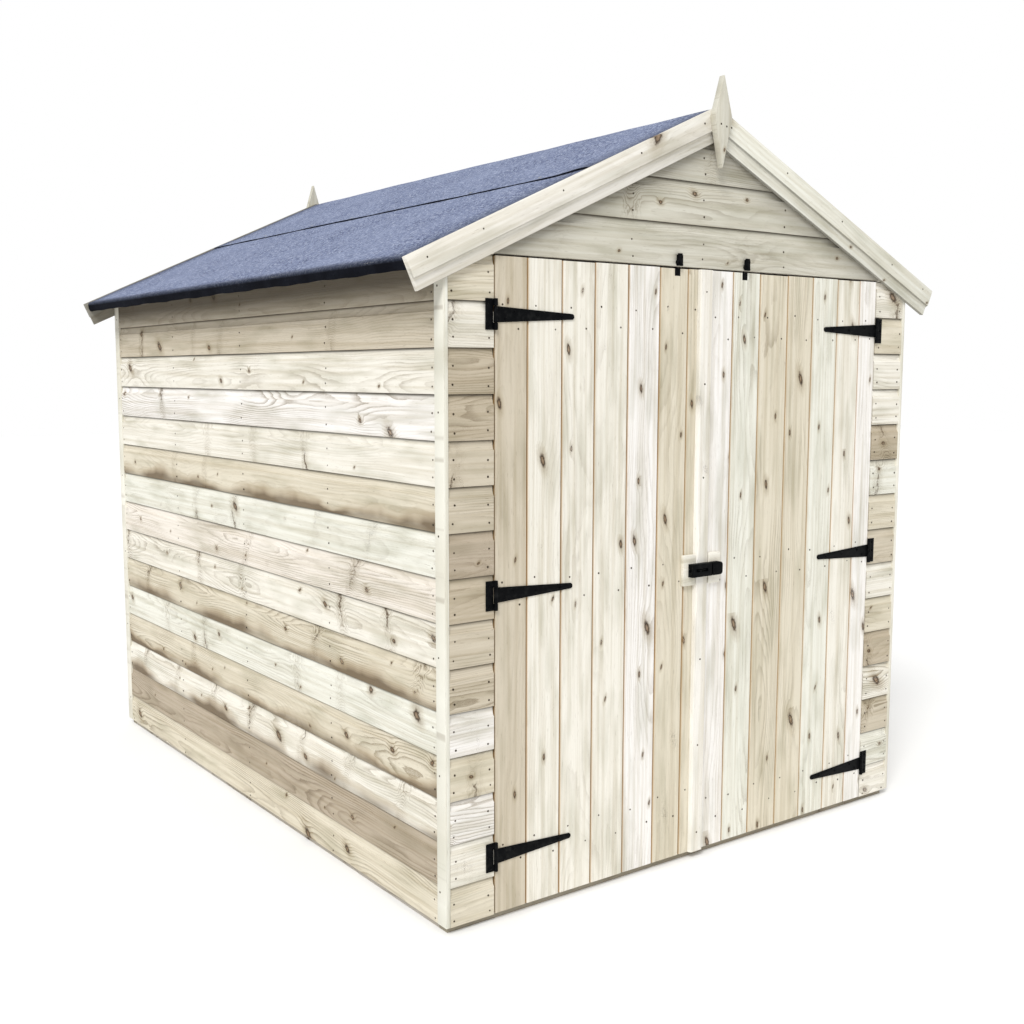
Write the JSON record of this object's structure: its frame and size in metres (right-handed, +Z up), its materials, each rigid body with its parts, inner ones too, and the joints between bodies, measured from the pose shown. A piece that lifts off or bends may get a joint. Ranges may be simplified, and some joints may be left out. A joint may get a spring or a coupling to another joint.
{
  "type": "wooden garden shed",
  "caption": "Apex garden shed with horizontal weatherboard walls, a felted pitched roof, double doors on tee hinges, a pad bolt and turn buttons, over a boarded floor",
  "frame": {"origin": "On the ground under the middle of the shed", "axes": "+Z up, the doors face -Y, +X to the right of someone who faces the doors from outside"},
  "size_m": [2.0638, 2.48, 2.273],
  "materials": {
    "cladding": "planed pressure-treated softwood",
    "trim": "planed pressure-treated softwood battens",
    "door_boards": "planed tongued and grooved softwood",
    "framing": "sawn softwood",
    "floor_timber": "sawn softwood",
    "roof_boards": "sawn softwood boards",
    "felt": "matt mineral roofing felt",
    "ironwork": "black satin powder coat"
  },
  "bodies": {
    "root": {"floor_frame": "floor_timber", "floor_boards": "floor_timber", "left_wall": "cladding", "right_wall": "cladding", "back_wall": "cladding", "front_left_panel": "cladding", "front_right_panel": "cladding", "front_gable": "cladding", "left_wall_frame": "framing", "right_wall_frame": "framing", "back_wall_frame": "framing", "front_frame": "framing", "corner_trim_front_left": "trim", "corner_trim_front_right": "trim", "corner_trim_back_left": "trim", "corner_trim_back_right": "trim", "roof_panel_left": "roof_boards", "roof_panel_right": "roof_boards", "roof_purlins": "framing", "roof_felt_left": "felt", "roof_felt_right": "felt", "roof_felt_ridge": "felt", "barge_board_front_left": "trim", "barge_board_front_right": "trim", "barge_board_back_left": "trim", "barge_board_back_right": "trim", "finial_front": "trim", "finial_back": "trim", "left_hinge_plates": "ironwork", "right_hinge_plates": "ironwork", "turn_button_posts": "ironwork"},
    "left_door": {"left_door_boards": "door_boards", "left_door_ledges": "framing", "left_hinge_straps": "ironwork", "meeting_strip": "trim", "left_lock_packer": "trim", "bolt_housing": "ironwork"},
    "right_door": {"right_door_boards": "door_boards", "right_door_ledges": "framing", "right_hinge_straps": "ironwork", "right_lock_packer": "trim", "bolt_keep": "ironwork"},
    "lock_bolt": {"lock_bolt": "ironwork"},
    "left_turn_button": {"left_turn_button": "ironwork"},
    "right_turn_button": {"right_turn_button": "ironwork"}
  },
  "joints": [
    {"name": "left_door_hinge", "type": "hinge", "parent": "root", "child": "left_door", "pos_m": [-0.761, -1.2055, 0.88], "axis": [0, 0, -1], "range_deg": [0, 100]},
    {"name": "right_door_hinge", "type": "hinge", "parent": "root", "child": "right_door", "pos_m": [0.761, -1.2055, 0.88], "axis": [0, 0, 1], "range_deg": [0, 100]},
    {"name": "lock_bolt_slide", "type": "slide", "parent": "left_door", "child": "lock_bolt", "axis": [1, 0, 0], "range_m": [0, 0.03]},
    {"name": "left_turn_button_pivot", "type": "hinge", "parent": "root", "child": "left_turn_button", "pos_m": [-0.13, -1.2085, 1.756], "axis": [0, 1, 0], "range_deg": [0, 180]},
    {"name": "right_turn_button_pivot", "type": "hinge", "parent": "root", "child": "right_turn_button", "pos_m": [0.143, -1.2085, 1.756], "axis": [0, -1, 0], "range_deg": [0, 180]}
  ]
}
